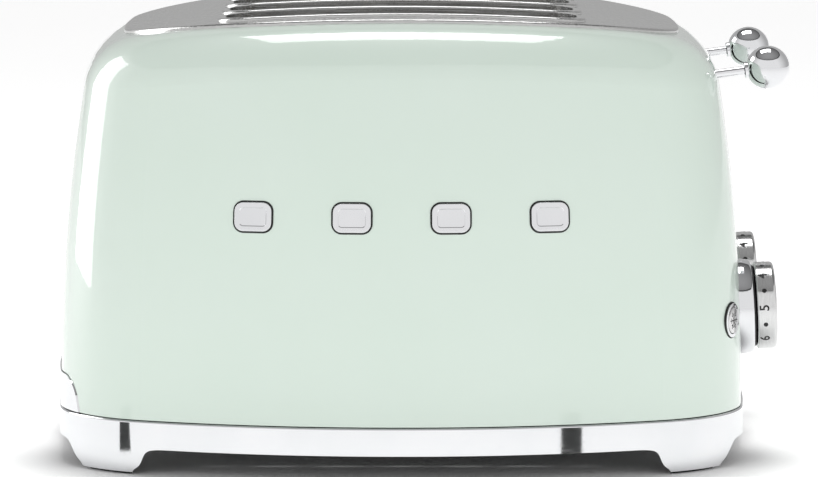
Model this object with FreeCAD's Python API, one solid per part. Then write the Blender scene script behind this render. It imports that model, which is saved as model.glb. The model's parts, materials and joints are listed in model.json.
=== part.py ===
"""Four-slot pop-up toaster with two independent controls, built as an assembly of separate pieces.

Millimetres, +Z up. The front faces -Y and the levers, dials and buttons are on the +X end.
Shapes are drawn about the casing's own vertical axis. shift_x then moves every piece so that the
origin is under the middle of the whole object, levers included, at the level of the feet.
"""
import FreeCAD
import Part
import math
import os

V = FreeCAD.Vector
UP = V(0, 0, 1)

# ---- driving dimensions -------------------------------------------------------------------------
# Casing plan: a rounded square of four bowed sides and four corners, all tangent
half_x = 160.5           # base ring, centre to the end
half_y = 162.0           # base ring, centre to the front
bow_front = 300.0        # radius of the bowed front and back
bow_side = 1000.0        # radius of the bowed ends
corner_r = 65.0

# Casing wall: one long slow arc up to a rounded shoulder under a crowned top
wall = 1.2
wall_inset = 1.0         # casing stands this far inside the base ring
wall_z0 = 24.9           # lower edge of the casing
belly_z = 36.0           # height where the casing is widest
wall_r = 820.0
shoulder_r = 28.0
crown_z = 202.5          # top of the casing at its middle line
crown_flat_x = 65.0      # the crown is slow this far out and quicker beyond
crown_r = (1216.0, 513.0)
wall_top = 185.0         # faces with their centre above this height belong to the crown
core_inset = 45.0

# Base ring with four legs
ring_top = 24.5
ring_bottom = 12.0
ring_wall = 2.4
ring_edge = 0.9          # radius along the ring's upper edge
leg_bottom = 1.2
leg_front_in = (112.0, 121.5)    # half-width of the front arch at its top and at the leg's sole
leg_side_in = (102.0, 117.0)     # the same for the arches at the ends
shelf_depth = 7.0
shelf_z = 21.5
plate_z = 20.0           # underside of the bottom plate
plate_t = 1.4
foot_depth = 16.0

# Top plate and its four slots
top_half_x = 130.0
top_half_y = 122.0
top_bow_front = 400.0
top_bow_side = 650.0
top_corner_r = 85.0
top_rise = 1.7           # the plate stands this far above the casing, all over
top_lap = 4.0            # the plate covers this much of the casing round the opening
top_t = 1.0
top_edge = 1.2           # radius along the plate's outer edge
slot_y = (-81.0, -27.0, 27.0, 81.0)
slot_len = 160.0
slot_w = 36.0
slot_r = 14.0
rim_flange = 4.0
rim_rise = 1.5
rim_edge = 1.1
rim_depth = 10.0
sleeve_t = 0.8

# Crumb trays and their fronts, on the -X end
tray_top = 40.7
tray_half = 113.7
tray_lean = 3.7
tray_round = 14.0
tray_floor = 26.4
tray_rim = 36.5
tray_gap = 3.0           # half the gap between the trays
tray_out = 100.0
tray_back = 80.0
sheet = 0.8

# Inner frame
end_x = 86.0
end_t = 1.0
end_half = 112.0
end_top = 192.0
board_y = (-108.0, -54.0, -3.2, 3.2, 54.0, 108.0)
board_z = (48.0, 188.0)
board_t = 0.8
reflector_y = 112.8

# Carriages, levers and guards
lever_y = (-66.0, 66.0)
lever_ball = (168.4, 178.5)      # X and Z of the knob's centre
ball_r = 10.0
rod_r = 2.0
rod_rise = 7.5                   # degrees that the lever rises outwards
lever_travel = 66.0
guide_x = 96.0
guide_r = 3.0
guide_low, guide_top = 41.5, 190.5
bracket_t = 1.2
spring_r = 4.0                   # lifting spring, to the middle of its wire
spring_wire = 0.4
seat_z = 44.0                    # the shelf that a lifting spring stands on
running = 0.05                   # radial clearance of a running fit
guard_offset = 15.5
guard_wire = 0.8
guard_bar = 1.0

# Dials and buttons, on the +X end
dial_y = (-66.0, 66.0)
dial_z = 67.9
dial_tilt = 3.0
bezel_r = 22.0
bezel_face = 5.4
dial_r = 20.0
dial_gap = 0.9
dial_t = 9.4
cap_r = 12.0
shaft_r = 3.0
button_r = 6.0
button_ring_r = 7.8
ring_stand, button_stand = 0.7, 1.1        # how far each stands out of the casing
button_z = 66.0
button_angle = 24.0              # a corner button's turn from the end towards the front or back
button_inner_y = 30.0            # the other button of each dial
button_travel = 1.0
cap_travel = 1.2
board_x = (126.0, 127.6)         # the control board
carrier = (9.0, 11.0)            # depth behind the casing's outline of the control carrier

shift_x = -(lever_ball[0] + ball_r - half_x) / 2


# ---- plan outlines -------------------------------------------------------------------------------
def corner_centre(hx, hy, rf, rs, rc):
    """Centre of the +X +Y corner arc that is tangent to the bowed side and the bowed front."""
    ax, ay = hx - rs, 0.0
    bx, by = 0.0, hy - rf
    da, db = rs - rc, rf - rc
    gap = math.hypot(bx - ax, by - ay)
    along = (da * da - db * db + gap * gap) / (2 * gap)
    off = math.sqrt(da * da - along * along)
    ux, uy = (bx - ax) / gap, (by - ay) / gap
    one = (ax + along * ux - off * uy, ay + along * uy + off * ux)
    two = (ax + along * ux + off * uy, ay + along * uy - off * ux)
    return one if one[0] + one[1] > two[0] + two[1] else two


def plan(hx, hy, rf, rs, rc):
    """Eight tangent arcs, anticlockwise from the +X end: (centre x, centre y, radius, from, to) in degrees."""
    cx, cy = corner_centre(hx, hy, rf, rs, rc)
    a = math.degrees(math.asin(cy / (rs - rc)))
    b = 90 - math.degrees(math.asin(cx / (rf - rc)))
    arcs = [(hx - rs, 0, rs, -a, a), (cx, cy, rc, a, b), (0, hy - rf, rf, b, 180 - b), (-cx, cy, rc, 180 - b, 180 - a)]
    turned = [(-x, -y, r, s + 180, e + 180) for x, y, r, s, e in arcs]
    return arcs + turned


casing = plan(half_x, half_y, bow_front, bow_side, corner_r)
lid = plan(top_half_x, top_half_y, top_bow_front, top_bow_side, top_corner_r)
END_RIGHT, CORNER_BR, BACK, CORNER_BL, END_LEFT, CORNER_FL, FRONT, CORNER_FR = range(8)


def polar(arc, degrees, inset=0.0, z=0.0):
    a = math.radians(degrees)
    r = arc[2] - inset
    return V(arc[0] + r * math.cos(a), arc[1] + r * math.sin(a), z)


def plan_face(outline, inset, z):
    edges = []
    for arc in outline:
        s, e = arc[3], arc[4]
        points = [polar(arc, a, inset, z) for a in (s, (s + e) / 2, e)]
        edges.append(Part.Arc(*points).toShape())
    return Part.Face(Part.Wire(edges))


def prism(outline, inset, z0, z1):
    return plan_face(outline, inset, z0).extrude(V(0, 0, z1 - z0))


# ---- sections swept round a plan -----------------------------------------------------------------
def line(a, b):
    return ("line", a, b)


def bend(a, m, b):
    return ("arc", a, m, b)


def swept(section, outline, keep=None):
    """Turns a closed section of (inset, height) points round each arc of the outline, and joins them."""
    parts = []
    for k, arc in enumerate(outline):
        if keep is not None and k not in keep:
            continue
        edges = []
        for kind, *points in section:
            p = [V(arc[2] - t, 0, z) for t, z in points]
            edges.append(Part.LineSegment(*p).toShape() if kind == "line" else Part.Arc(*p).toShape())
        face = Part.Face(Part.Wire(edges))
        part = face.revolve(V(0, 0, 0), UP, arc[4] - arc[3])
        part.rotate(V(0, 0, 0), UP, arc[3])
        part.translate(V(arc[0], arc[1], 0))
        parts.append(part)
    return joined(parts)


def polygon(points):
    return [line(points[i], points[(i + 1) % len(points)]) for i in range(len(points))]


def joined(parts):
    if len(parts) == 1:
        return parts[0]
    return parts[0].multiFuse(parts[1:]).removeSplitter()


def wall_inset_at(z):
    """How far the casing's wall is inside the base ring's outline at a height below the shoulder."""
    return wall_inset + wall_r - math.sqrt(wall_r ** 2 - (z - belly_z) ** 2)


def crown(drop):
    """Everything under the casing's crowned top, lowered by drop: bowed across X and straight along Y."""
    r0, r1 = crown_r[0] - drop, crown_r[1] - drop
    a = math.asin(crown_flat_x / crown_r[0])
    top = crown_z - drop
    side_x = crown_flat_x - math.sin(a) * crown_r[1]
    side_z = crown_z - crown_r[0] + math.cos(a) * (crown_r[0] - crown_r[1])
    y, reach = -half_y - 20, half_x + 20

    def slow(t):
        return V(r0 * math.sin(t), y, crown_z - crown_r[0] + r0 * math.cos(t))

    def quick(sign, t):
        return V(sign * (side_x + r1 * math.sin(t)), y, side_z + r1 * math.cos(t))

    b = math.asin((reach - side_x) / r1)
    arcs = [Part.Arc(quick(-1, b), quick(-1, (a + b) / 2), quick(-1, a)).toShape(),
            Part.Arc(slow(-a), V(0, y, top), slow(a)).toShape(),
            Part.Arc(quick(1, a), quick(1, (a + b) / 2), quick(1, b)).toShape()]
    left, right = quick(-1, b), quick(1, b)
    low_left, low_right = V(left.x, y, 0), V(right.x, y, 0)
    sides = [Part.makeLine(right, low_right), Part.makeLine(low_right, low_left), Part.makeLine(low_left, left)]
    face = Part.Face(Part.Wire(arcs + sides))
    return face.extrude(V(0, -2 * y, 0))


def border(faces):
    """The edges round a group of faces: those that belong to only one of them."""
    shared = {}
    for face in faces:
        for edge in face.Edges:
            shared.setdefault(edge.hashCode(), []).append(edge)
    return [found[0] for found in shared.values() if len(found) == 1]


def envelope(inset, low=wall_z0):
    """Everything inside the casing's surface, set in by inset, from the height low upwards."""
    high, r = 214.0, wall_r - inset
    spot = [(wall_inset + wall_r - math.sqrt(r * r - (z - belly_z) ** 2), z) for z in (low, (low + high) / 2, high)]
    section = [bend(*spot), line(spot[2], (core_inset, high)), line((core_inset, high), (core_inset, low)),
               line((core_inset, low), spot[0])]
    blank = joined([swept(section, casing), prism(casing, core_inset, low, high)])
    blank = blank.common(crown(inset))
    return blank.makeFillet(shoulder_r - inset, border([f for f in blank.Faces if f.CenterOfMass.z > wall_top]))


# ---- small helpers -------------------------------------------------------------------------------
def box(x0, x1, y0, y1, z0, z1):
    return Part.makeBox(x1 - x0, y1 - y0, z1 - z0, V(x0, y0, z0))


def rounded(length, width, radius, z0, z1, x=0.0, y=0.0):
    """A prism whose plan is a rounded rectangle."""
    hx, hy, r = length / 2, width / 2, radius
    edges = []
    for cx, cy, a in ((hx - r, hy - r, 0), (r - hx, hy - r, 90), (r - hx, r - hy, 180), (hx - r, r - hy, 270)):
        arc = (x + cx, y + cy, r, a, a + 90)
        edges.append(Part.Arc(*[polar(arc, d, 0, z0) for d in (a, a + 45, a + 90)]).toShape())
        nxt = {0: (r - hx, hy), 90: (-hx, r - hy), 180: (hx - r, -hy), 270: (hx, hy - r)}[a]
        edges.append(Part.LineSegment(polar(arc, a + 90, 0, z0), V(x + nxt[0], y + nxt[1], z0)).toShape())
    return Part.Face(Part.Wire(edges)).extrude(V(0, 0, z1 - z0))


def rod(p, direction, r, length):
    return Part.makeCylinder(r, length, p, direction)


class Axis:
    """A line through the casing, such as a dial's: base is where it meets the casing, out points outwards."""

    def __init__(self, base, out):
        self.base, self.out = base, out

    def at(self, s):
        return self.base + self.out * s

    def cylinder(self, r, s0, s1):
        return rod(self.at(s0), self.out, r, s1 - s0)

    def tube(self, r_in, r_out, s0, s1):
        return self.cylinder(r_out, s0, s1).cut(self.cylinder(r_in, s0 - 1, s1 + 1))

    def cone(self, r0, r1, s0, s1):
        return Part.makeCone(r0, r1, s1 - s0, self.at(s0), self.out)


def end_axis(y, z, tilt=0.0):
    """An axis out of the +X end at a place on its bowed side."""
    arc = casing[END_RIGHT]
    t = wall_inset_at(z)
    x = arc[0] + math.sqrt((arc[2] - t) ** 2 - y * y)
    return Axis(V(x, y, z), V(math.cos(math.radians(tilt)), 0, math.sin(math.radians(tilt))))


def corner_axis(side, z):
    """An axis out of the corner beside the +X end: side is -1 at the front and 1 at the back."""
    arc = casing[CORNER_FR] if side < 0 else casing[CORNER_BR]
    a = math.radians(side * button_angle)
    return Axis(polar(arc, side * button_angle, wall_inset_at(z), z), V(math.cos(a), math.sin(a), 0))


PARTS = {}


def put(name, shape):
    """Moves a finished piece into the object's frame and keeps it under its node's name."""
    shape = shape.removeSplitter() if shape.ShapeType in ("Compound", "Solid") else shape
    shape.translate(V(shift_x, 0, 0))
    PARTS[name] = shape


def group(shapes):
    return Part.makeCompound(shapes)


dial_axes = [end_axis(y, dial_z, dial_tilt) for y in dial_y]
button_axes = [corner_axis(-1, button_z), end_axis(-button_inner_y, button_z),
               end_axis(button_inner_y, button_z), corner_axis(1, button_z)]
button_names = ("front_outer", "front_inner", "rear_inner", "rear_outer")
side_names = ("front", "rear")


# ---- casing ---------------------------------------------------------------------------------------
def hump(grow, x0, x1):
    """The crumb-tray fronts' outline on the -X end, as a cutter along X."""
    y, lean, r = tray_half + grow, tray_lean, tray_round
    top, low = tray_top + grow, wall_z0 - 5
    y_top = y - lean * (top - low) / (top - wall_z0)
    a = V(x0, -y, low)
    b = V(x0, -y_top, top)
    c = V(x0, y_top, top)
    d = V(x0, y, low)
    solid = Part.Face(Part.makePolygon([a, b, c, d, a])).extrude(V(x1 - x0, 0, 0))
    top_edges = [e for e in solid.Edges if abs(e.BoundBox.ZMin - top) < 1e-6 and e.BoundBox.YLength < 1e-6]
    return solid.makeFillet(r, top_edges)


def lever_slot(y, grow, x0, x1):
    """A round-ended upright slot for a lever's rod."""
    half = rod_r + 1.3 + grow
    low = lever_ball[1] - lever_travel - 8.0
    high = lever_ball[1] + 2.5
    body = box(x0, x1, y - half, y + half, low, high)
    ends = [rod(V(x0, y, z), V(1, 0, 0), half, x1 - x0) for z in (low, high)]
    return joined([body] + ends)


def casing_shell():
    shell = whole.cut(envelope(wall, wall_z0 - 5))
    cuts = [prism(lid, top_lap, 180, 220), hump(0.3, -half_x - 5, -end_x - 30)]
    cuts += [lever_slot(y, 0, end_x + 30, half_x + 5) for y in lever_y]
    cuts += [a.cylinder(9.0, -12, 12) for a in dial_axes]
    cuts += [a.cylinder(7.0, -8, 8) for a in button_axes]
    for cut in cuts:
        shell = shell.cut(cut)
    return shell


def leg_arch(half_top, half_sole, along_x):
    """The opening under the base ring between two legs, as a cutter with flowing ends."""
    z0, z1 = -1.0, ring_bottom
    reach = half_y + 10
    slope = (half_top, half_sole)
    mid_z = (leg_bottom + z1) / 2
    mid = sum(slope) / 2

    def at(u, z):
        return V(u, -reach, z) if along_x else V(-reach, u, z)

    def end(sign):
        start = at(sign * slope[1], z0)
        poles = [start, at(sign * slope[1], leg_bottom + 1), at(sign * (slope[1] - 3.0), leg_bottom + 2),
                 at(sign * mid, mid_z), at(sign * (slope[0] + 3.5), z1 - 1.2), at(sign * slope[0], z1),
                 at(sign * (slope[0] - 7.0), z1)]
        curve = Part.BSplineCurve()
        curve.buildFromPoles(poles, False, 3)
        return curve.toShape()

    left, right = end(-1), end(1)
    top = Part.LineSegment(at(-(slope[0] - 7.0), z1), at(slope[0] - 7.0, z1)).toShape()
    low = Part.LineSegment(at(-slope[1], z0), at(slope[1], z0)).toShape()
    face = Part.Face(Part.Wire(Part.__sortEdges__([left, top, right, low])))
    return face.extrude(V(0, 2 * reach, 0) if along_x else V(2 * reach, 0, 0))


def base_ring():
    e = ring_edge
    section = [line((0, leg_bottom), (0, ring_top - e)),
               bend((0, ring_top - e), (0.29 * e, ring_top - 0.29 * e), (e, ring_top)),
               line((e, ring_top), (shelf_depth, ring_top)), line((shelf_depth, ring_top), (shelf_depth, shelf_z)),
               line((shelf_depth, shelf_z), (ring_wall, shelf_z)), line((ring_wall, shelf_z), (ring_wall, leg_bottom)),
               line((ring_wall, leg_bottom), (0, leg_bottom))]
    ring = swept(section, casing)
    for cut in arches:
        ring = ring.cut(cut)
    for x, y in screw_places:
        ring = ring.cut(Part.makeCylinder(1.5, 10, V(x, y, plate_z - 2)))
    return ring


def foot(k):
    section = polygon([(ring_wall + 0.2, 0), (ring_wall + 0.2, plate_z), (foot_depth, plate_z), (foot_depth, 0)])
    solid = swept(section, casing, [k])
    for cut in arches:
        solid = solid.cut(cut)
    low = leg_bottom - 0.2
    sole = box(-half_x, half_x, -half_y, half_y, -1, low)
    keep = solid.common(box(-half_x, half_x, -half_y, half_y, low, plate_z))
    return joined([keep, solid.common(sole)])


arches = [leg_arch(*leg_front_in, True), leg_arch(*leg_side_in, False)]
screw_inset = ring_wall + 2.6
screw_head_r = 2.3
screw_places = []
for arc_no, turns in ((FRONT, (-12, 12)), (BACK, (-12, 12)), (END_LEFT, (-3.5, 3.5)), (END_RIGHT, (-3.5, 3.5))):
    middle = (casing[arc_no][3] + casing[arc_no][4]) / 2
    for turn in turns:
        place = polar(casing[arc_no], middle + turn, screw_inset)
        screw_places.append((place.x, place.y))

whole = envelope(0)

put("body_shell", casing_shell())
put("base_ring", base_ring())
put("feet", group([foot(k) for k in (CORNER_FL, CORNER_FR, CORNER_BL, CORNER_BR)]))

# ---- bottom plate, cord inlet and cleats ----------------------------------------------------------
gland_x, gland_r, cord_r = 104.0, 7.0, 3.6
bottom = prism(casing, ring_wall + 0.4, plate_z, plate_z + plate_t)
for x, y in screw_places:
    bottom = bottom.cut(Part.makeCylinder(1.6, 10, V(x, y, plate_z - 2)))
bottom = bottom.cut(Part.makeCylinder(gland_r, 10, V(gland_x, 0, plate_z - 2)))
for y in (-120, -108, 108, 120):
    for k in range(7):
        bottom = bottom.cut(rounded(20, 4, 1.9, plate_z - 1, plate_z + 3, -84 + 28 * k, y))
put("bottom_plate", bottom)

put("base_screws", group([joined([Part.makeCylinder(screw_head_r, 1.4, V(x, y, plate_z - 1.4)),
                                  Part.makeCylinder(1.5, ring_top - plate_z - 0.3, V(x, y, plate_z))])
                          for x, y in screw_places]))

gland = joined([Part.makeCylinder(gland_r, plate_t, V(gland_x, 0, plate_z)),
                Part.makeCylinder(gland_r + 2, 2.0, V(gland_x, 0, plate_z - 2.0)),
                Part.makeCylinder(gland_r + 1.5, 5.0, V(gland_x, 0, plate_z + plate_t))])
put("cord_gland", gland.cut(Part.makeCylinder(cord_r, 20, V(gland_x, 0, plate_z - 5))))


def cleat(y):
    """A hook under the bottom plate that the mains lead is wound round."""
    sign = 1 if y > 0 else -1
    post = box(-22, 22, y - 1.5, y + 1.5, 7.5, plate_z)
    lip = box(-22, 22, min(y, y + sign * 12), max(y, y + sign * 12), 6.0, 7.5)
    return joined([post, lip])


put("cord_cleats", group([cleat(-50), cleat(50)]))
block_y = 24.0
terminal = box(gland_x - 12, gland_x + 12, block_y - 8, block_y + 8, plate_z + plate_t, plate_z + plate_t + 16)
for k in range(3):
    terminal = terminal.cut(Part.makeCylinder(2.0, 8, V(gland_x - 8 + 8 * k, block_y, plate_z + plate_t + 10)))
put("terminal_block", terminal)

# ---- top plate and slot rims ----------------------------------------------------------------------
def raised_edge(blank, radius):
    """Rounds the upper edge of a blank whose top follows the crown."""
    return blank.makeFillet(radius, border([f for f in blank.Faces if f.CenterOfMass.z > crown_z - 4]))


slab = raised_edge(prism(lid, 0, wall_top, 215).common(crown(-top_rise)), top_edge)
cover = slab.cut(prism(lid, top_t + 1.0, 180, 215).common(crown(top_t - top_rise))).cut(whole)
cover = max(cover.Solids, key=lambda solid: solid.Volume)
for y in slot_y:
    cover = cover.cut(rounded(slot_len + 2 * sleeve_t + 0.3, slot_w + 2 * sleeve_t + 0.3, slot_r, 180, 220, 0, y))
put("top_plate", cover)


def slot_rim(y):
    """A raised lip that follows the top plate, with a short sleeve down through it."""
    lip = rounded(slot_len + 2 * rim_flange, slot_w + 2 * rim_flange, slot_r + 3, wall_top, 215, 0, y)
    lip = raised_edge(lip.common(crown(-top_rise - rim_rise)), rim_edge).cut(crown(-top_rise))
    low = crown_z + top_rise - rim_depth
    sleeve = rounded(slot_len + 2 * sleeve_t, slot_w + 2 * sleeve_t, slot_r, low, 215, 0, y)
    sleeve = sleeve.common(crown(-top_rise - rim_rise / 2))
    return joined([lip, sleeve]).cut(rounded(slot_len, slot_w, slot_r - sleeve_t, 180, 220, 0, y))


put("slot_rims", group([slot_rim(y) for y in slot_y]))

# ---- inner frame ----------------------------------------------------------------------------------
floor_z = plate_z + plate_t
rack_z = 116.0                   # top of a bread rack with the lever up
guards = [(y + s * guard_offset, s) for y in slot_y for s in (-1, 1)]
guard_z = (52.0, 184.0)
guard_travel = 6.0


def end_plate(x0):
    right = x0 > 0
    plate = box(x0, x0 + end_t, -end_half, end_half, floor_z, end_top)
    cuts = []
    for y in slot_y:
        cuts.append(box(x0 - 1, x0 + 2, y - 4, y + 4, rack_z - lever_travel - 7, rack_z + 4))
    for y, s in guards:
        for z in guard_z:
            y0, y1 = sorted((y + s * 1.6, y - s * (guard_travel + 1.6)))
            cuts.append(box(x0 - 1, x0 + 2, y0, y1, z - 1.4, z + 1.4))
    if not right:
        for y0, y1 in ((-tray_out - 3, -tray_gap + 0.5), (tray_gap - 0.5, tray_out + 3)):
            cuts.append(box(x0 - 1, x0 + 2, y0, y1, floor_z + 1, tray_top))
    return plate.cut(group(cuts))


def guide_bracket(y, reach, top):
    """A shelf on the right end plate with a hole for a guide rod."""
    shelf = box(end_x + end_t, guide_x + reach, y - 9, y + 9, top - bracket_t, top)
    return shelf.cut(Part.makeCylinder(guide_r, 200, V(guide_x, y, 30)))


put("end_plate_left", end_plate(-end_x - end_t))
put("end_plate_right", end_plate(end_x))
put("guide_brackets", group([guide_bracket(y, *end) for y in lever_y for end in ((9, guide_top - 1.3), (28, seat_z))]))
put("guide_rods", group([Part.makeCylinder(guide_r, guide_top - guide_low, V(guide_x, y, guide_low)) for y in lever_y]))
put("heater_boards", group([box(-end_x, end_x, y - board_t / 2, y + board_t / 2, *board_z) for y in board_y]))


def winding():
    """One flat resistance ribbon that runs to and fro across a board."""
    rows, pitch, ribbon, thick, half = 12, 11.0, 1.8, 0.3, 74.0
    parts = []
    for k in range(rows):
        z = board_z[0] + 9 + pitch * k
        parts.append(box(-half, half, 0, thick, z, z + ribbon))
        if k:
            x = half if k % 2 else -half
            parts.append(box(min(x, x - math.copysign(ribbon, x)), max(x, x - math.copysign(ribbon, x)), 0, thick,
                             z - pitch, z + ribbon))
    return joined(parts)


ribbon = winding()
windings = []
for y in board_y:
    for s in (-1, 1):
        towards_slot = any(abs(y + s * 27 - slot) < 4 for slot in slot_y)
        if towards_slot:
            copy = ribbon.copy()
            copy.translate(V(0, y + (board_t / 2 if s > 0 else -board_t / 2 - 0.3), 0))
            windings.append(copy)
put("heater_windings", group(windings))
put("reflectors", group([box(-end_x - end_t, end_x + end_t, y - 0.4, y + 0.4, floor_z, end_top)
                         for y in (-reflector_y, reflector_y)]))

# ---- bread guards ---------------------------------------------------------------------------------
def guard(y):
    """A grid of upright wires between two bars that ride in slots of the end plates."""
    parts = [rod(V(-end_x - 2.6, y, z), V(1, 0, 0), guard_bar, 2 * end_x + 5.2) for z in guard_z]
    parts += [rod(V(x, y, guard_z[0]), UP, guard_wire, guard_z[1] - guard_z[0]) for x in range(-72, 73, 12)]
    return parts[0].multiFuse(parts[1:])


guard_shape = guard(0)
for k, name in enumerate(side_names):
    for s in (-1, 1):
        pair = []
        for y in slot_y[2 * k:2 * k + 2]:
            copy = guard_shape.copy()
            copy.translate(V(0, y + s * guard_offset, 0))
            pair.append(copy)
        put("bread_guards_%s_%s" % (name, "outward" if s * lever_y[k] > 0 else "inward"), group(pair))

# ---- carriages and levers -------------------------------------------------------------------------
block_z = (150.0, 174.0)
cross_x = guide_x - 6.8
magnet_top = 70.0
keeper_z = magnet_top + lever_travel + 0.4
rod_direction = V(math.cos(math.radians(rod_rise)), 0, math.sin(math.radians(rod_rise)))


def lever_rod(y, r=rod_r):
    centre = V(lever_ball[0], y, lever_ball[1])
    return rod(centre - rod_direction * 60, rod_direction, r, 60 - 3)


def carriage(k):
    """The slide block on its guide rod, the cross plate to both racks and the arm that takes the lever."""
    y = lever_y[k]
    slots = [s for s in slot_y if (s < 0) == (y < 0)]
    block = box(guide_x - 6, guide_x + 6, y - 8, y + 8, *block_z)
    cross = box(cross_x, cross_x + 1.4, min(slots) - 5, max(slots) + 5, rack_z - 5, block_z[0] + 6)
    arm = box(guide_x + 6, guide_x + 24, y - 4, y + 4, 162.0, 175.0)
    keeper = box(guide_x + 6, guide_x + 26, y - 7, y + 7, keeper_z, keeper_z + 2)
    hanger = box(guide_x + 6, guide_x + 8, y - 4, y + 4, keeper_z, 163.0)
    solid = joined([block, cross, arm, keeper, hanger])
    solid = solid.cut(Part.makeCylinder(guide_r + running, 60, V(guide_x, y, 130)))
    return solid.cut(lever_rod(y))


def rack(y):
    """A bread rest: a flat bar with a raised rib, from the cross plate to a slot in the far end plate."""
    bar = box(-end_x - 2.5, cross_x, y - 3, y + 3, rack_z - 4.5, rack_z - 3)
    ribs = [box(x, x + 1.6, y - 3, y + 3, rack_z - 3, rack_z) for x in range(-76, 77, 19)]
    rail = box(-76, 77.6, y - 0.8, y + 0.8, rack_z - 3, rack_z)
    return joined([bar, rail] + ribs)


def spring(y):
    """The spring on the guide rod that lifts the carriage."""
    z0, z1 = seat_z + 0.05, block_z[0] - 0.3
    helix = Part.makeHelix(7.0, z1 - z0 - 2 * spring_wire, spring_r)
    profile = Part.Wire(Part.Circle(V(spring_r, 0, 0), V(0, 1, 0), spring_wire).toShape())
    coil = Part.Wire(helix).makePipeShell([profile], True, True)
    coil.translate(V(guide_x, y, z0 + spring_wire))
    return coil


for k, y in enumerate(lever_y):
    name = side_names[k]
    put("carriage_" + name, carriage(k))
    put("lever_rod_" + name, lever_rod(y))
    ball = Part.makeSphere(ball_r, V(lever_ball[0], y, lever_ball[1])).cut(lever_rod(y))
    put("lever_knob_" + name, ball)
    put("lift_spring_" + name, spring(y))
    put("bread_racks_" + name, group([rack(y) for y in slot_y[2 * k:2 * k + 2]]))


def magnet(y):
    """The electromagnet that holds a lowered carriage by its keeper."""
    x = guide_x + 17
    return joined([box(x - 7, x + 7, y - 6, y + 6, seat_z, 47.0), Part.makeCylinder(6.5, 18.0, V(x, y, 47.0)),
                   box(x - 6, x + 6, y - 5, y + 5, 65.0, magnet_top)])


put("latch_magnets", group([magnet(y) for y in lever_y]))

liner_band = envelope(wall + 0.2).cut(envelope(wall + 1.4))
liners = []
for y in lever_y:
    strip = liner_band.common(box(end_x, half_x, y - 10, y + 10, 98, 189))
    liners.append(strip.cut(lever_slot(y, -0.6, end_x, half_x + 5)))
put("lever_slot_liners", group(liners))

# ---- crumb trays ----------------------------------------------------------------------------------
front_section = polygon([(0.4, wall_z0 + 0.1), (0.4, tray_top + 5), (2.6, tray_top + 5), (2.6, wall_z0 + 0.1)])
tray_band = swept(front_section, casing, [END_LEFT, CORNER_BL, CORNER_FL]).common(hump(0, -half_x - 5, -100))
for k, sign in enumerate((-1, 1)):
    name = side_names[k]
    y0, y1 = sorted((sign * 0.25, sign * 130))
    put("tray_front_" + name, tray_band.common(box(-half_x - 5, 0, y0, y1, 0, 60)))
    y0, y1 = sorted((sign * tray_gap, sign * tray_out))
    outer = prism(casing, 2.6, tray_floor, tray_rim).common(box(-half_x, tray_back, y0, y1, 0, 60))
    hollow = prism(casing, 2.6 + sheet, tray_floor + sheet, tray_rim + 1)
    hollow = hollow.common(box(-half_x, tray_back - sheet, y0 + sheet, y1 - sheet, 0, 60))
    put("crumb_tray_" + name, outer.cut(hollow))

rails = []
for y0, y1 in ((-tray_gap + 0.6, tray_gap - 0.6), (tray_out + 0.6, tray_out + 3.0), (-tray_out - 3.0, -tray_out - 0.6)):
    rails.append(box(-end_x + 0.1, end_x - 0.1, y0, y1, floor_z, 38))
for y0, y1 in ((-12, -tray_gap + 0.6), (tray_gap - 0.6, 12), (88, tray_out + 0.6), (-tray_out - 0.6, -88)):
    rails.append(box(-end_x + 0.1, end_x - 0.1, y0, y1, floor_z, tray_floor - 0.3))
rails = [joined([rails[0], rails[3], rails[4]]), joined([rails[1], rails[5]]), joined([rails[2], rails[6]])]
put("tray_runners", group(rails))

# ---- control panel --------------------------------------------------------------------------------
carrier_section = polygon([(carrier[0], 44), (carrier[0], 92), (carrier[1], 92), (carrier[1], 44)])
panel = swept(carrier_section, casing, [CORNER_FR, END_RIGHT, CORNER_BR])
panel = panel.common(box(end_x + 38, half_x, -112, 112, 0, 100))
cups = [a.cylinder(7.0, -18.0, -carrier[0] - 0.6) for a in button_axes]
panel = joined([panel] + cups)
for a in button_axes:
    panel = panel.cut(a.cylinder(5.0, -20.0, -11.5)).cut(a.cylinder(2.8, -20, 0))
for a in dial_axes:
    panel = panel.cut(a.cylinder(5.0, -20, 0))
put("control_carrier", panel)
put("button_switches", group([a.cylinder(4.9, -18.0, -13.2) for a in button_axes]))
put("control_board", box(*board_x, -80, 80, floor_z, 92))

bezels, spacers, level_controls = [], [], []
for k, a in enumerate(dial_axes):
    name = side_names[k]
    collar = a.cone(bezel_r, bezel_r - 1.0, -4, bezel_face).cut(whole)
    sleeve = a.cylinder(8.8, -5.0, 2.0)
    bezels.append(joined([collar, sleeve]).cut(a.cylinder(5.0, -10, 10)))
    spacers.append(a.tube(12.0, 18.8, bezel_face, bezel_face + dial_gap - 0.35))
    s0 = bezel_face + dial_gap
    s1 = s0 + dial_t
    knob = a.cylinder(dial_r, s0, s1)
    knob = knob.makeFillet(1.4, [e for e in knob.Edges if e.BoundBox.Center.sub(a.at(s1)).Length < 0.5])
    knob = joined([knob, a.cylinder(shaft_r, -20.0, s0)])
    put("browning_dial_" + name, knob.cut(a.cylinder(cap_r + 0.3, s1 - 5.0, s1 + 2)).cut(a.cylinder(1.9, s0 + 1, s1)))
    cap = joined([a.cylinder(cap_r, s1 - 3.2, s1 + 0.4), a.cylinder(1.5, s0 + 2.5, s1 - 3.2)])
    put("stop_button_" + name, cap)
    middle = a.at(-20.0)
    pot = box(board_x[1], board_x[1] + 16.5, middle.y - 9, middle.y + 9, middle.z - 9, middle.z + 9)
    level_controls.append(pot.cut(a.cylinder(shaft_r + running, -30, 0)))
put("dial_bezels", group(bezels))
put("dial_spacers", group(spacers))
put("level_controls", group(level_controls))

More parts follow.
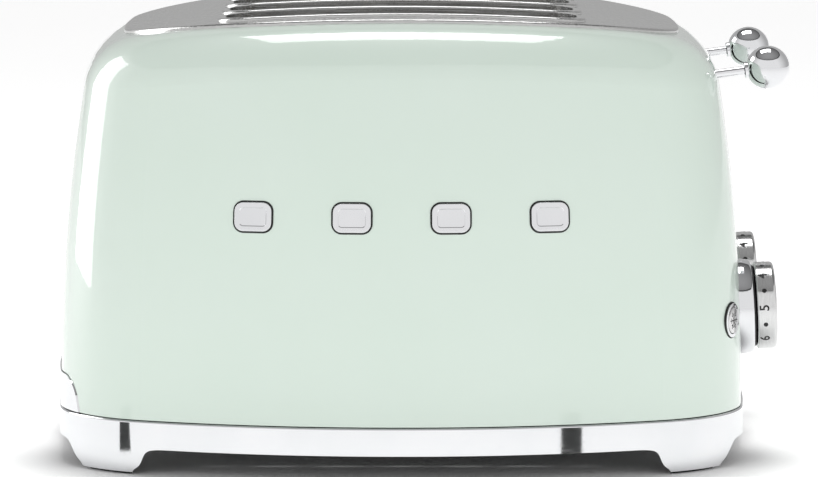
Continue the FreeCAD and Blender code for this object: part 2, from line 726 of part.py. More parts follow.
rings = []
for k, a in enumerate(button_axes):
    flange = a.cylinder(button_ring_r, -4, ring_stand).cut(whole)
    rings.append(joined([flange, a.cylinder(6.9, -3.5, 0.6)]).cut(a.cylinder(button_r + 0.3, -10, 10)))
    cap = joined([a.cylinder(button_r, -5.0, button_stand), a.cylinder(2.4, -12.0, -5.0)])
    put("button_" + button_names[k], cap)
put("button_rings", group(rings))

# ---- trim on the front ----------------------------------------------------------------------------
trim_len, trim_h, trim_r = 17.0, 13.0, 4.0
trim_z, trim_pitch = 118.0, 44.0
band = envelope(-0.9).cut(whole)
pills = []
for k in range(4):
    x = (k - 1.5) * trim_pitch
    pill = rounded(trim_len, trim_h, trim_r, 0, 60, x, 0)
    pill.rotate(V(0, 0, 0), V(1, 0, 0), 90)
    pill.translate(V(0, -half_y + 40, trim_z))
    pills.append(pill.common(band))
put("front_trim", group(pills))

# ---- write ----------------------------------------------------------------------------------------
os.makedirs("parts", exist_ok=True)
for old in os.listdir("parts"):
    os.remove(os.path.join("parts", old))
for name, shape in PARTS.items():
    good = shape.isValid() and all(s.Volume > 0 for s in shape.Solids)
    print("%-26s solids %2d  volume %9.1f  %s" % (name, len(shape.Solids), shape.Volume, "ok" if good else "BAD"))
    shape.exportStep("parts/%s.step" % name)
print(len(PARTS), "nodes")
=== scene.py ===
"""Looks of a four-slot pop-up toaster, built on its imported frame.

Sizes of pieces are in millimetres and become metres when a mesh is finished. The studio is in metres.
"""
import json
import math

import bmesh
import bpy
from mathutils import Matrix, Vector


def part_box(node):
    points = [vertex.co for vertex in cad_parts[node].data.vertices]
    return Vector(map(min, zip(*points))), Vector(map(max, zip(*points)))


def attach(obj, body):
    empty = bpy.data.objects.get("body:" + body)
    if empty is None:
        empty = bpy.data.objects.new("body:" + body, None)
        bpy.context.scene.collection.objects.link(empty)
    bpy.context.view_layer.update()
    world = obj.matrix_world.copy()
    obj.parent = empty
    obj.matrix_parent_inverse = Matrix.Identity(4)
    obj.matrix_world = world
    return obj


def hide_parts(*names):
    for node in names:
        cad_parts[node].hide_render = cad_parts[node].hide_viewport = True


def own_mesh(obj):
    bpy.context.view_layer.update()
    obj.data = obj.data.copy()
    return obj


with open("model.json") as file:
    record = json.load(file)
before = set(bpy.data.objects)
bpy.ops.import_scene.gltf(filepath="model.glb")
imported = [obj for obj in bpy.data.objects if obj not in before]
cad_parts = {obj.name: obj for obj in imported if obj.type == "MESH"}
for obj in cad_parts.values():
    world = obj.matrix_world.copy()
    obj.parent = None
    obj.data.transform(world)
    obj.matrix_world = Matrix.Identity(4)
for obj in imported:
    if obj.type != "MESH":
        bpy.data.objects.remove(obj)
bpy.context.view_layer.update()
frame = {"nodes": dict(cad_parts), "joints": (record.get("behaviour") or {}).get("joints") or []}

MM = 0.001
nodes = frame["nodes"]


# ---- where things are -----------------------------------------------------------------------------
def middle(node):
    """The middle of a node's box, in millimetres."""
    low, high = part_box(node)
    return (low + high) / 2 / MM


ring_low, ring_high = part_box("base_ring")
casing_x = (ring_low.x + ring_high.x) / 2 / MM      # the casing's own axis, beside the origin
joints = {j["child"]: j for j in frame["joints"]}
SHAPE = {
    "bezel": (22.0, 5.4),       # radius and height of a dial's fixed collar
    "dial": (20.0, 6.3, 15.7),  # radius, inner and outer end of a dial
    "shaft": (20.0, 3.0),       # how far a dial's shaft goes in, and its radius
    "back": 18.6,               # radius of a dial's back face
    "stop": (12.0, 12.5, 16.1),     # radius, inner and outer end of the stop button in a dial's middle
    "button": (6.0, 6.1, 1.1),  # radius, depth and how far it stands out of the casing
    "stem": (2.4, 13.1),        # radius and depth behind a button's face
    "trim": (17.0, 13.0, 4.0, 44.0),    # length, height, corner and pitch of a stud
    "spring": (4.0, 0.4, 7.0),  # coil radius, wire radius and pitch
    "stud": (1.9, 0.35, 1.9),   # depth, soft edge and width of the raised rim
    "recess": (0.35, 0.3),      # width of the step inside the rim, and its depth
    "seat": (1.5, 1.25, 0.2),   # how much a stud's seat is larger than the stud, its depth and its edge
    "gasket": (6.95, 8.35),     # inner and outer radius of the seal round a button
    "arm": (4.3, 0.55),         # length and width of a snowflake's arm
    "branch": (1.5, 0.5, 2.2, 50),      # length, width, place on the arm and angle of its branches
    "bagel": ((1.2, 1.75), (3.4, 4.0)),     # inner and outer radius of the sign's two rings
    "ball": (10.0, 4.2),        # radius of a lever's ball and of its neck
    "rod_rise": math.radians(7.5),      # how much a lever's rod climbs outwards
}
PRINT = 0.06                    # thickness of a printed mark


# ---- materials ------------------------------------------------------------------------------------
CELLS = -1                      # the detail of a pattern of flat cells
EVEN = (1, 1, 1)                # a pattern that isn't drawn out
NOISE_START = 0.3               # noise keeps mostly between this and its complement
METAL = {"Metallic": 1.0}


def linear(colour):
    """An sRGB hex value as a linear colour."""
    parts = [int(colour[k:k + 2], 16) / 255 for k in (1, 3, 5)]
    return [c / 12.92 if c <= 0.04045 else ((c + 0.055) / 1.055) ** 2.4 for c in parts] + [1.0]


def add(tree, kind, inputs=(), **settings):
    """Adds a node with its settings. Each input is a value, or another node's output to link."""
    node = tree.nodes.new(kind)
    for key, value in settings.items():
        setattr(node, key, value)
    for key, value in dict(inputs).items():
        if isinstance(value, bpy.types.NodeSocket):
            tree.links.new(value, node.inputs[key])
        else:
            node.inputs[key].default_value = value
    return node


def material(name):
    """An empty material, its node tree, and the place on the object in metres."""
    made = bpy.data.materials.new(name)
    made.use_nodes = True
    made.node_tree.nodes.clear()
    tree = made.node_tree
    return made, tree, add(tree, "ShaderNodeTexCoord").outputs["Object"]


def surface(name, colours, tone, rough=None, bump=None, coat=0.0, constants=()):
    """A material whose colour, roughness and relief follow patterns of a real size.

    A pattern is (size in millimetres, detail, stretch along X, Y and Z), with CELLS as the detail of flat
    cells. tone is the pattern that goes from one colour to the other, rough is (pattern, low, high), bump is
    (pattern, depth in millimetres, strength), and coat is the strength of the same relief in a clear skin.
    """
    made, tree, place = material(name)
    ranges = [(tone, 0, 1)] + ([rough] if rough else [])
    raw = {}
    for pattern in dict.fromkeys([use[0] for use in ranges + ([bump] if bump else [])]):
        size_mm, detail, stretch = pattern
        scale = [1 / (size_mm * MM * s) for s in stretch]
        spot = add(tree, "ShaderNodeMapping", {"Vector": place, "Scale": scale})
        inputs = {"Vector": spot.outputs[0], "Scale": 1.0}
        if detail == CELLS:
            cells = add(tree, "ShaderNodeTexVoronoi", inputs).outputs["Color"]
            raw[pattern] = add(tree, "ShaderNodeRGBToBW", {"Color": cells}).outputs[0]
        else:
            raw[pattern] = add(tree, "ShaderNodeTexNoise", {**inputs, "Detail": detail}).outputs[0]
    shares = []
    for pattern, low, high in ranges:
        start = 0.0 if pattern[1] == CELLS else NOISE_START
        shares.append(add(tree, "ShaderNodeMapRange", {
            "Value": raw[pattern], "From Min": start, "From Max": 1 - start,
            "To Min": low, "To Max": high}).outputs[0])
    inputs = dict(constants)
    inputs["Base Color"] = add(tree, "ShaderNodeMix", {
        "Factor": shares[0], "A": linear(colours[0]), "B": linear(colours[1])}, data_type="RGBA").outputs[2]
    if rough:
        inputs["Roughness"] = shares[1]
    if bump:
        pattern, depth_mm, strength = bump
        for socket, amount in (("Normal", strength), ("Coat Normal", coat)):
            if amount:
                inputs[socket] = add(tree, "ShaderNodeBump", {
                    "Height": raw[pattern], "Distance": depth_mm * MM, "Strength": amount}).outputs[0]
    shader = add(tree, "ShaderNodeBsdfPrincipled", inputs)
    add(tree, "ShaderNodeOutputMaterial", {"Surface": shader.outputs[0]})
    return made


def moulded(name, colours, roughness, grain_mm, ior=1.5, depth_mm=0.015):
    """Injection-moulded plastic or rubber: an even colour with the fine grain of the mould."""
    grain = (grain_mm, 2, EVEN)
    return surface(name, colours, (12.0, 2, EVEN), (grain, roughness - 0.06, roughness + 0.06),
                   (grain, depth_mm, 0.4), constants={"IOR": ior})


# Enamel, fused and glossy: a hard clear skin over flat colour, with a faint orange peel.
skin = {"Roughness": 0.42, "IOR": 1.5, "Coat Weight": 1.0, "Coat Roughness": 0.025, "Coat IOR": 1.5}
enamel = surface("gloss_enamel_mint", ("#DAE9DE", "#DCEAE0"), (60.0, 2, EVEN), None,
                 ((2.5, 1, EVEN), 0.004, 0.25), 0.2, skin)
# Chromium plated on pressed steel: a near mirror with hairline wipe marks.
wipes = (1.2, 3, (12, 1, 1))
chrome = surface("chrome_plate_polished", ("#DCDDDF", "#E3E3E5"), (35.0, 2, EVEN), (wipes, 0.05, 0.10),
                 (wipes, 0.002, 0.12), constants=METAL)
# Stainless sheet brushed one way: fine lines that smear reflections across the grain.
lines = (0.5, 3, (60, 1, 1))
plate_steel = surface("stainless_sheet_brushed", ("#B8B8B7", "#C6C6C5"), lines, (lines, 0.16, 0.30),
                      (lines, 0.006, 0.25), constants=METAL)
# Stainless bar turned and satin polished: fine lines that run round it.
rings = (0.4, 3, (1, 14, 14))
knob_steel = surface("stainless_turned_satin", ("#CFCFCF", "#DADADA"), rings, (rings, 0.12, 0.22),
                     (rings, 0.006, 0.25), constants=METAL)
# Hot-dip zinc-coated sheet: broad soft crystals of slightly different grey.
crystals = (9.0, CELLS, EVEN)
inner_steel = surface("zinc_coated_sheet", ("#A3A5A6", "#B9BBBB"), crystals, (crystals, 0.32, 0.48),
                      ((1.5, 2, EVEN), 0.01, 0.3), constants=METAL)
# Bright drawn steel wire with the straw colour of many heatings.
wire = surface("drawn_steel_wire", ("#B9B6AF", "#A79C8C"), (30.0, 2, EVEN), ((1.0, 2, EVEN), 0.25, 0.42),
               ((0.4, 2, (8, 1, 1)), 0.004, 0.3), constants=METAL)
rubber = moulded("rubber_moulded_black", ("#121212", "#191919"), 0.75, 0.6, 1.52)
black_plastic = moulded("nylon_moulded_black", ("#0E0E0F", "#151516"), 0.5, 0.5)
white_plastic = moulded("melamine_moulded_white", ("#CFCDC4", "#D9D7CF"), 0.35, 0.8)
board_green = moulded("circuit_board_lacquer", ("#16402A", "#1B4A31"), 0.3, 0.7)
ink = moulded("pad_print_ink_black", ("#0B0B0C", "#111112"), 0.45, 0.3, depth_mm=0.004)
# Pressed mica board: silvery tan flakes that catch the light one by one.
flakes = (2.2, CELLS, EVEN)
mica = surface("pressed_mica_board", ("#A8946F", "#D2C6A6"), flakes, (flakes, 0.25, 0.6),
               (flakes, 0.03, 0.35), constants={"IOR": 1.58})
# Resistance ribbon after many heatings: a thin dark oxide over dull metal.
oxide = (4.0, 2, EVEN)
ribbon = surface("oxidised_resistance_ribbon", ("#4A4440", "#6E655E"), oxide, ((1.5, 2, EVEN), 0.45, 0.65),
                 (oxide, 0.025, 0.3), constants={"Metallic": 0.8})
# Machined soft iron, dull and slightly rusty in its pores.
pores = (1.2, 4, EVEN)
iron = surface("machined_soft_iron", ("#55504C", "#77736F"), pores, (pores, 0.4, 0.6), (pores, 0.02, 0.4),
               constants=METAL)

finishes = {
    enamel: ["body_shell"],
    chrome: ["base_ring", "tray_front_front", "tray_front_rear", "lever_rod_front", "lever_rod_rear",
             "lever_knob_front", "lever_knob_rear", "front_trim", "button_rings", "dial_bezels",
             "base_screws"],
    plate_steel: ["top_plate", "slot_rims"],
    knob_steel: ["browning_dial_front", "browning_dial_rear", "stop_button_front", "stop_button_rear",
                 "button_front_outer", "button_front_inner", "button_rear_inner", "button_rear_outer"],
    inner_steel: ["bottom_plate", "end_plate_left", "end_plate_right", "guide_brackets", "reflectors",
                  "crumb_tray_front", "crumb_tray_rear", "carriage_front", "carriage_rear"],
    wire: ["guide_rods", "bread_guards_front_outward", "bread_guards_front_inward",
           "bread_guards_rear_outward", "bread_guards_rear_inward", "bread_racks_front", "bread_racks_rear",
           "lift_spring_front", "lift_spring_rear"],
    rubber: ["feet", "cord_gland"],
    black_plastic: ["cord_cleats", "lever_slot_liners", "control_carrier", "button_switches",
                    "level_controls", "tray_runners", "dial_spacers"],
    white_plastic: ["terminal_block"],
    board_green: ["control_board"],
    mica: ["heater_boards"],
    ribbon: ["heater_windings"],
    iron: ["latch_magnets"],
}
for finish, names in finishes.items():
    for name in names:
        nodes[name].data.materials.clear()
        nodes[name].data.materials.append(finish)


# ---- making pieces --------------------------------------------------------------------------------
CORNER = math.radians(25)       # a sharper fold than this is rounded
CRISP = 30                      # a sharper fold than this, in degrees, stays an edge on a polished piece


def piece(name, bm, body, finish, replaced=(), smooth=40.0):
    """Turns a bmesh in millimetres into a finished piece that rides on a body."""
    bmesh.ops.scale(bm, vec=(MM, MM, MM), verts=bm.verts)
    mesh = bpy.data.meshes.new(name)
    bm.to_mesh(mesh)
    bm.free()
    mesh.shade_smooth()
    mesh.set_sharp_from_angle(angle=math.radians(smooth))
    mesh.materials.append(finish)
    made = bpy.data.objects.new(name, mesh)
    bpy.context.scene.collection.objects.link(made)
    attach(made, body)
    if replaced:
        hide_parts(*replaced)
    return made


def turned(profile, steps=96, edge=0.0):
    """A solid of revolution about X from (along, radius) points, with its corners rounded by edge."""
    bm = bmesh.new()
    verts = [bm.verts.new((s, 0, r)) for s, r in profile]
    edges = [bm.edges.new((a, b)) for a, b in zip(verts, verts[1:])]
    if profile[0][1] > 0:
        edges.append(bm.edges.new((verts[-1], verts[0])))
    bmesh.ops.spin(bm, geom=verts + edges, cent=(0, 0, 0), axis=(1, 0, 0), angle=2 * math.pi, steps=steps,
                   use_merge=True)
    bmesh.ops.remove_doubles(bm, verts=bm.verts, dist=1e-4)
    bmesh.ops.recalc_face_normals(bm, faces=bm.faces)
    if edge:
        sharp = [e for e in bm.edges if len(e.link_faces) == 2 and e.calc_face_angle() > CORNER]
        bmesh.ops.bevel(bm, geom=sharp, offset=edge, offset_type="OFFSET", segments=3, profile=0.5,
                        affect="EDGES", material=-1, clamp_overlap=True)
    return bm


def axis_place(joint):
    """A hinge's outward direction, and the point that its axis goes through."""
    return Vector(joint["axis"]).normalized(), Vector(joint.get("pos_m") or (0, 0, 0)) / MM


def onto(bm, spot, out):
    """Moves a piece drawn about X so that X lies along out, keeping its Z as near up as it can."""
    side = Vector((0, 0, 1)).cross(out).normalized()
    up = out.cross(side)
    turn = Matrix((out, side, up)).transposed().to_4x4()
    bmesh.ops.transform(bm, matrix=Matrix.Translation(spot) @ turn, verts=bm.verts)
    return bm


def merged(parts):
    """Joins several bmeshes into one."""
    whole = bmesh.new()
    for part in parts:
        mesh = bpy.data.meshes.new("part")
        part.to_mesh(mesh)
        part.free()
        whole.from_mesh(mesh)
        bpy.data.meshes.remove(mesh)
    return whole


# ---- dials ----------------------------------------------------------------------------------------
DIGITS = 6
DIGIT_PITCH = 46.0              # degrees
DIGIT_SIZE = 6.2
DIGIT_BOLD = 0.1
FIRST_DIGIT = 187.0             # degrees from the front round over the top, where the digit 1 is
DOT_R = 1.05


def digit(text):
    """A digit in plain lettering as a flat bmesh, centred, its top towards +Y."""
    curve = bpy.data.curves.new("digit", "FONT")
    curve.body, curve.size, curve.extrude, curve.offset = text, DIGIT_SIZE, PRINT, DIGIT_BOLD
    curve.align_x, curve.align_y = "CENTER", "CENTER"
    holder = bpy.data.objects.new("digit", curve)
    bpy.context.scene.collection.objects.link(holder)
    mesh = bpy.data.meshes.new_from_object(holder)
    bm = bmesh.new()
    bm.from_mesh(mesh)
    bpy.data.objects.remove(holder)
    bpy.data.curves.remove(curve)
    bpy.data.meshes.remove(mesh)
    bmesh.ops.triangulate(bm, faces=bm.faces)
    bmesh.ops.subdivide_edges(bm, edges=bm.edges, cuts=3, use_grid_fill=True)
    return bm


def wrapped(bm, radius, angle, along):
    """Lays a flat piece on a drum about X: its top points inwards along X, its middle at the angle."""
    for v in bm.verts:
        a = math.radians(angle) + v.co.x / radius
        r = radius + v.co.z
        v.co = Vector((along - v.co.y, -r * math.cos(a), r * math.sin(a)))
    return bm


def dot(radius):
    """A flat printed dot."""
    bm = bmesh.new()
    bmesh.ops.create_circle(bm, cap_ends=True, radius=radius, segments=20)
    bmesh.ops.translate(bm, vec=(0, 0, PRINT - 0.01), verts=bm.verts)
    return bm


dial_r, dial_in, dial_out = SHAPE["dial"]
shaft_end, shaft_r = SHAPE["shaft"]
cap_r, cap_in, cap_out = SHAPE["stop"]
bezel_r, bezel_h = SHAPE["bezel"]
bezels = []
for side in ("front", "rear"):
    body = "dial_" + side
    out, spot = axis_place(joints[body])
    knob = turned([(-shaft_end, 0), (-shaft_end, shaft_r), (dial_in, shaft_r), (dial_in, SHAPE["back"]),
                   (dial_in + 0.5, dial_r - 0.3),
                   (dial_in + 0.9, dial_r), (dial_out - 1.3, dial_r), (dial_out - 0.4, dial_r - 0.5),
                   (dial_out, dial_r - 1.4), (dial_out, cap_r + 1.1), (dial_out - 0.5, cap_r + 0.4),
                   (dial_out - 5, cap_r + 0.3), (dial_out - 5, 0)], edge=0.15)
    piece("dial_body_" + side, onto(knob, spot, out), body, knob_steel, ["browning_dial_" + side],
          CRISP)
    marks = []
    for k in range(DIGITS):
        angle = FIRST_DIGIT - DIGIT_PITCH * k
        marks.append(wrapped(digit(str(k + 1)), dial_r, angle, dial_in + 3.7))
        if k < DIGITS - 1:
            marks.append(wrapped(dot(DOT_R), dial_r, angle - DIGIT_PITCH / 2, dial_in + 3.9))
    piece("dial_digits_" + side, onto(merged(marks), spot, out), body, ink)
    cap = turned([(cap_in, 0), (cap_in, cap_r), (cap_out - 0.9, cap_r), (cap_out - 0.2, cap_r - 0.5),
                  (cap_out, cap_r - 1.3), (cap_out - 0.35, 6.0), (cap_out - 0.5, 0)], edge=0.1)
    piece("stop_cap_" + side, onto(cap, spot, out), "stop_" + side, knob_steel,
          ["stop_button_" + side], CRISP)
    bezel = turned([(-2.5, 5), (-2.5, bezel_r), (0.6, bezel_r), (bezel_h - 1.4, bezel_r - 0.5),
                    (bezel_h - 0.4, bezel_r - 1.0), (bezel_h, bezel_r - 2.0), (bezel_h, 5)], edge=0.12)
    bezels.append(onto(bezel, spot, out))
piece("dial_collars", merged(bezels), "toaster", chrome, ["dial_bezels"], CRISP)


# ---- levers ---------------------------------------------------------------------------------------
def ball_profile(radius, neck):
    """A ball about X with a flat neck on its inner side."""
    start = math.asin(neck / radius)
    ring = [(-radius * math.cos(a), radius * math.sin(a)) for a in
            [start + (math.pi - start) * k / 40 for k in range(41)]]
    collar = [(-radius - 0.9, 0), (-radius - 0.9, neck - 1.0), (-radius - 0.5, neck - 0.5),
              (ring[0][0], neck - 0.5)]
    return collar + ring[:-1] + [(radius, 0)]


for side in ("front", "rear"):
    ball = turned(ball_profile(*SHAPE["ball"]), 72)
    rise = SHAPE["rod_rise"]
    onto(ball, middle("lever_knob_" + side), Vector((math.cos(rise), 0, math.sin(rise))))
    piece("lever_ball_" + side, ball, "carriage_" + side, chrome, ["lever_knob_" + side], 35)


# ---- buttons --------------------------------------------------------------------------------------
def far_face(node, out):
    """The middle of the flat face that a node's solid has farthest along out."""
    points = [v.co / MM for v in nodes[node].data.vertices]
    reach = max(p.dot(out) for p in points)
    face = [p for p in points if p.dot(out) > reach - 0.01]
    return sum(face, Vector()) / len(face)


def about_z(degrees):
    """The turn of a flat mark in its own plane."""
    return Matrix.Rotation(math.radians(degrees), 3, "Z")


def bar(length, width, angle):
    """A flat printed bar from the middle out to its length, turned by an angle in degrees."""
    bm = bmesh.new()
    bmesh.ops.create_grid(bm, x_segments=4, y_segments=1, size=0.5)
    bmesh.ops.scale(bm, vec=(length, width, 1), verts=bm.verts)
    bmesh.ops.translate(bm, vec=(length / 2, 0, 0), verts=bm.verts)
    bmesh.ops.rotate(bm, cent=(0, 0, 0), matrix=about_z(angle), verts=bm.verts)
    return bm


def ring_mark(r_in, r_out):
    """A flat printed ring."""
    bm = bmesh.new()
    line = [bm.verts.new((r, 0, 0)) for r in (r_in, r_out)]
    bmesh.ops.spin(bm, geom=line + [bm.edges.new(line)], cent=(0, 0, 0), axis=(0, 0, 1), angle=2 * math.pi,
                   steps=48, use_merge=True)
    return bm


def snowflake():
    """The usual sign for thawing: six arms, each with a pair of branches."""
    parts = []
    length, width, away, lean = SHAPE["branch"]
    for k in range(6):
        parts.append(bar(*SHAPE["arm"], 60 * k))
        for side in (-1, 1):
            branch = bar(length, width, lean * side)
            bmesh.ops.translate(branch, vec=(away, 0, 0), verts=branch.verts)
            bmesh.ops.rotate(branch, cent=(0, 0, 0), matrix=about_z(60 * k), verts=branch.verts)
            parts.append(branch)
    return merged(parts)


def bagel():
    """A plain ring round a hole, for one-sided toasting."""
    return merged([ring_mark(*radii) for radii in SHAPE["bagel"]])


def printed(mark):
    """Gives a flat mark in X and Y the thickness of print and turns its face to +X."""
    bmesh.ops.solidify(mark, geom=mark.faces[:], thickness=PRINT)
    bmesh.ops.recalc_face_normals(mark, faces=mark.faces)
    turn = Matrix(((0, 0, 1), (1, 0, 0), (0, 1, 0))).to_4x4()
    bmesh.ops.transform(mark, matrix=turn, verts=mark.verts)
    bmesh.ops.translate(mark, vec=(PRINT / 2, 0, 0), verts=mark.verts)
    return mark


button_r, button_depth, button_stand = SHAPE["button"]
stem_r, stem_depth = SHAPE["stem"]
gaskets = []
gasket_in, gasket_out = SHAPE["gasket"]
for name, mark in (("front_outer", snowflake), ("front_inner", bagel), ("rear_inner", bagel),
                   ("rear_outer", snowflake)):
    body = "button_" + name
    out = -Vector(joints[body]["axis"]).normalized()
    face = far_face(body, out)
    cap = turned([(-stem_depth, 0), (-stem_depth, stem_r), (-button_depth, stem_r), (-button_depth, button_r),
                  (-0.45, button_r), (-0.12, button_r - 0.15), (0, button_r - 0.5), (0, 0)], 64, edge=0.08)
    piece("button_cap_" + name, onto(cap, face, out), body, knob_steel, [body], CRISP)
    piece("button_mark_" + name, onto(printed(mark()), face, out), body, ink)
    gasket = turned([(-1.4, gasket_in), (-1.4, gasket_out), (0.15, gasket_out), (0.3, gasket_out - 0.15),
                     (0.3, gasket_in)], 72)
    gaskets.append(onto(gasket, face - out * button_stand, out))
piece("button_gaskets", merged(gaskets), "toaster", rubber)


# ---- studs on the front ---------------------------------------------------------------------------
def rounded_block(length, height, corner, depth, edge):
    """A block standing on XY with rounded corners and a soft upper edge."""
    bm = bmesh.new()
    outline = []
    for cx, cy, start in ((1, 1, 0), (-1, 1, 90), (-1, -1, 180), (1, -1, 270)):
        for k in range(9):
            a = math.radians(start + 11.25 * k)
            outline.append(bm.verts.new((cx * (length / 2 - corner) + corner * math.cos(a),
                                         cy * (height / 2 - corner) + corner * math.sin(a), 0)))
    base = bm.faces.new(outline)
    top = bmesh.ops.extrude_face_region(bm, geom=[base])["geom"]
    verts = [g for g in top if isinstance(g, bmesh.types.BMVert)]
    bmesh.ops.translate(bm, vec=(0, 0, depth), verts=verts)
    face = [g for g in top if isinstance(g, bmesh.types.BMFace)][0]
    bmesh.ops.bevel(bm, geom=face.edges[:], offset=edge, offset_type="OFFSET", segments=4, profile=0.5,
                    affect="EDGES", material=-1)
    bmesh.ops.recalc_face_normals(bm, faces=bm.faces)
    return bm


def on_casing(x, z):
    """A point on the casing's front and the outward direction there."""
    def hit(dx, dz):
        start = Vector((x + dx, -400, z + dz)) * MM
        return nodes["body_shell"].ray_cast(start, Vector((0, 1, 0)))[1] / MM

    out = (hit(7, 0) - hit(-7, 0)).cross(hit(0, 5) - hit(0, -5)).normalized()
    return hit(0, 0), out


trim_len, trim_h, trim_corner, trim_pitch = SHAPE["trim"]
stud_depth, stud_edge, rim = SHAPE["stud"]
step_width, step_depth = SHAPE["recess"]
seat_more, seat_depth, seat_edge = SHAPE["seat"]
studs, seats = [], []
for k in range(4):
    spot, out = on_casing(casing_x + (k - 1.5) * trim_pitch, middle("front_trim").z)
    stud = rounded_block(trim_len, trim_h, trim_corner, stud_depth, stud_edge)
    face = [f for f in stud.faces if f.normal.z > 0.99]
    bmesh.ops.inset_region(stud, faces=face, thickness=rim, depth=0.0)
    inner = max((f for f in stud.faces if f.normal.z > 0.99), key=lambda f: f.calc_area())
    bmesh.ops.inset_region(stud, faces=[inner], thickness=step_width, depth=-step_depth)
    seat = rounded_block(trim_len + seat_more, trim_h + seat_more, trim_corner + seat_more / 2, seat_depth,
                         seat_edge)
    turn = out.to_track_quat("Z", "Y").to_matrix().to_4x4()
    for bm in (stud, seat):
        bmesh.ops.transform(bm, matrix=Matrix.Translation(spot - out) @ turn, verts=bm.verts)
    studs.append(stud)
    seats.append(seat)
piece("front_studs", merged(studs), "toaster", chrome, ["front_trim"], CRISP)
piece("stud_seats", merged(seats), "toaster", rubber, (), CRISP)


# ---- lifting springs ------------------------------------------------------------------------------
def coil(radius, wire_r, pitch, low, high):
    """A helical spring about Z with closed ends of wire."""
    turns = (high - low - 2 * wire_r) / pitch
    steps = round(turns * 28)
    bm = bmesh.new()
    section = bmesh.ops.create_circle(bm, radius=wire_r, segments=10)["verts"]
    stand = Matrix.Translation((radius, 0, low + wire_r)) @ Matrix.Rotation(math.pi / 2, 4, "X")
    bmesh.ops.transform(bm, matrix=stand, verts=section)
    bmesh.ops.spin(bm, geom=section + bm.edges[:], cent=(0, 0, 0), axis=(0, 0, 1),
                   dvec=(0, 0, pitch * turns / steps), angle=2 * math.pi * turns, steps=steps)
    bmesh.ops.holes_fill(bm, edges=[e for e in bm.edges if e.is_boundary])
    bmesh.ops.recalc_face_normals(bm, faces=bm.faces)
    return bm


spring_r, spring_wire, spring_pitch = SHAPE["spring"]
for side in ("front", "rear"):
    node = "lift_spring_" + side
    low, high = (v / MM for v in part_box(node))
    bm = coil(spring_r, spring_wire, spring_pitch, low.z, high.z)
    seat = Vector((middle(node).x, middle(node).y, 0))
    bmesh.ops.translate(bm, vec=seat, verts=bm.verts)
    made = piece("lift_coil_" + side, bm, "toaster", wire, [node])
    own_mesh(made)


# ---- camera ---------------------------------------------------------------------------------------
EYE_AWAY, EYE_HEIGHT = 2424.0, 352.5    # in millimetres, like the lens
AIM = (0.001467998, 1.0, -0.10735956)
SENSOR, LENS = 36.0, 226.12225

eye = Vector((casing_x, -EYE_AWAY, EYE_HEIGHT)) * MM
camera_data = bpy.data.cameras.new("camera")
camera_data.sensor_width, camera_data.lens = SENSOR, LENS
camera_data.clip_start, camera_data.clip_end = 0.05, 60
camera = bpy.data.objects.new("camera", camera_data)
bpy.context.scene.collection.objects.link(camera)
camera.location = eye
camera.rotation_mode = "QUATERNION"
camera.rotation_quaternion = Vector(AIM).to_track_quat("-Z", "Y")
bpy.context.scene.camera = camera


# ---- studio ---------------------------------------------------------------------------------------
GLOW = 0.51                     # emission of the floor: a painted glow that fades to a painted shadow near the toaster
# Each ramp of the floor's painted glow, which fades out near the toaster and so paints its shadow: its
# middle's Y, its stretch along Y, and where it starts and is full.
GLOW_RAMPS = ((-0.09, 1.7, 0.14, 0.20), (0.0, 1.0, 0.15, 0.17))
CARD_HEIGHT = 0.02
CARD_AWAY = 0.07                # from the point on the base that mirrors it
# Each card: its name, width, the point that mirrors it, and the direction to it in degrees.
CARDS = (("left", 0.016, -0.134, -0.135, 206.9), ("right", 0.014, 0.067, -0.152, 301.1))
# Heights on the sky, from level to overhead, with their greys: white low down, and a dark band above it.
SKY_BANDS = ((0.66, 1.0), (0.68, 0.02), (0.70, 0.02), (0.72, 0.3))
SKY_TOP = 0.45
SKY_BEHIND, SKY_FRONT = 0.5, 0.98


def panel(name, size_x, size_y, spot, target, power):
    """A soft box: an area light of even brightness, given as the radiance of its face."""
    light = bpy.data.lights.new(name, "AREA")
    light.shape = "RECTANGLE"
    light.size, light.size_y = size_x, size_y
    light.energy = power * math.pi * size_x * size_y
    holder = bpy.data.objects.new(name, light)
    bpy.context.scene.collection.objects.link(holder)
    holder.location = spot
    holder.rotation_mode = "QUATERNION"
    holder.rotation_quaternion = (Vector(target) - Vector(spot)).to_track_quat("-Z", "Y")
    return holder


panel("overhead_box", 0.78, 0.56, (0.0, 0.31, 1.42), (0.0, 0.31, 0.0), 5.65)
left_box = panel("left_box", 0.95, 1.5, (-1.65, 0.72, 0.75), (0.0, 0.30, 0.75), 4.5)
left_box.visible_diffuse = False


def card(name, width, height, spot, facing):
    """A narrow dark board that only mirrors see, for the dark bars in polished metal."""
    bm = bmesh.new()
    bmesh.ops.create_grid(bm, x_segments=1, y_segments=1, size=0.5)
    turn = Vector(facing).to_track_quat("Z", "Y").to_matrix().to_4x4()
    bmesh.ops.transform(bm, matrix=turn @ Matrix.Diagonal((width, height, 1, 1)), verts=bm.verts)
    bmesh.ops.translate(bm, vec=spot, verts=bm.verts)
    mesh = bpy.data.meshes.new(name)
    bm.to_mesh(mesh)
    bm.free()
    mesh.materials.append(card_black)
    board = bpy.data.objects.new(name, mesh)
    bpy.context.scene.collection.objects.link(board)
    board.visible_camera = board.visible_diffuse = board.visible_shadow = False


MATTE = {"Roughness": 1.0, "Specular IOR Level": 0.0}
card_black = surface("card_black", ("#4A4A4A", "#4A4A4A"), (400.0, 2, EVEN), constants=MATTE)
for name, width, x, y, turn in CARDS:
    out = Vector((math.cos(math.radians(turn)), math.sin(math.radians(turn)), 0))
    card("dark_card_" + name, width, CARD_HEIGHT, Vector((x, y, CARD_HEIGHT / 2)) + out * CARD_AWAY, -out)
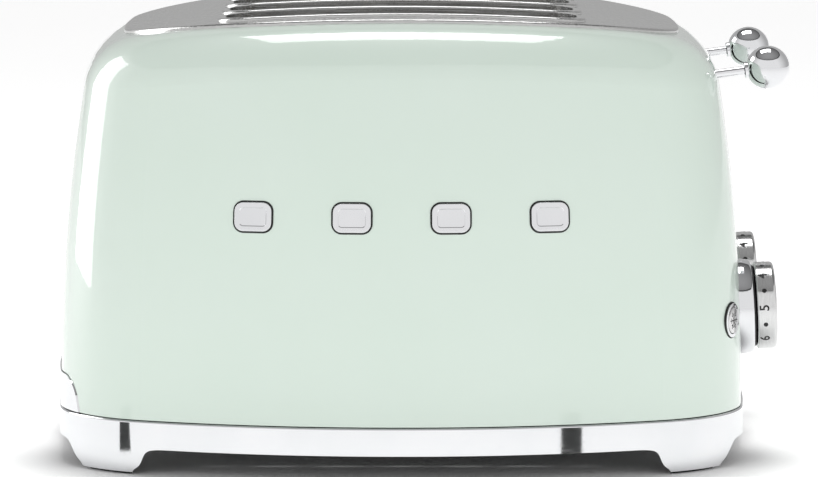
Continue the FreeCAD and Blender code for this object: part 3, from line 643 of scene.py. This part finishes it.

# The floor glows by emission far from the toaster and is darker near its base: the glow is painted light and
# the darker ring round the base is painted shadow.
floor_glow_shade = surface("floor_glow_painted_shadow", ("#F6F6F6", "#F8F8F8"), (400.0, 2, EVEN), constants={
    "Roughness": 0.9, "Specular IOR Level": 0.1, "Emission Color": (1, 1, 1, 1)})
tree = floor_glow_shade.node_tree
place = add(tree, "ShaderNodeTexCoord").outputs["Object"]
glow = GLOW
for centre_y, stretch_y, near, far in GLOW_RAMPS:
    beside = add(tree, "ShaderNodeMapping", {"Vector": place, "Scale": (1, stretch_y, 1),
                                             "Location": (-casing_x * MM, -centre_y * stretch_y, 0)})
    away = add(tree, "ShaderNodeVectorMath", {0: beside.outputs[0]}, operation="LENGTH").outputs["Value"]
    ramp = add(tree, "ShaderNodeMapRange", {"Value": away, "From Min": near, "From Max": far},
               interpolation_type="SMOOTHSTEP")
    glow = add(tree, "ShaderNodeMath", {0: ramp.outputs[0], 1: glow}, operation="MULTIPLY").outputs[0]
tree.links.new(glow, tree.nodes["Principled BSDF"].inputs["Emission Strength"])
bm = bmesh.new()
bmesh.ops.create_grid(bm, x_segments=1, y_segments=1, size=8.0)
mesh = bpy.data.meshes.new("floor")
bm.to_mesh(mesh)
bm.free()
mesh.materials.append(floor_glow_shade)
floor = bpy.data.objects.new("floor", mesh)
bpy.context.scene.collection.objects.link(floor)

world = bpy.data.worlds.new("studio")
bpy.context.scene.world = world
world.use_nodes = True
sky = world.node_tree
sky.nodes.clear()
way = add(sky, "ShaderNodeSeparateXYZ", {"Vector": add(sky, "ShaderNodeTexCoord").outputs["Generated"]})
front = add(sky, "ShaderNodeMapRange", {"Value": way.outputs["Y"], "From Min": 0.5, "From Max": -0.5,
                                        "To Min": SKY_BEHIND, "To Max": SKY_FRONT})
height = add(sky, "ShaderNodeValToRGB", {"Fac": way.outputs["Z"]})
stops = height.color_ramp.elements
for place_on_ramp, grey in SKY_BANDS:
    stops.new(place_on_ramp).color = (grey, grey, grey, 1)
stops[0].color, stops[-1].color = (1, 1, 1, 1), (SKY_TOP, SKY_TOP, SKY_TOP, 1)
backing = add(sky, "ShaderNodeBackground", {"Color": height.outputs[0], "Strength": front.outputs[0]})
add(sky, "ShaderNodeOutputWorld", {"Surface": backing.outputs[0]})
bpy.context.scene.view_settings.view_transform = "Standard"
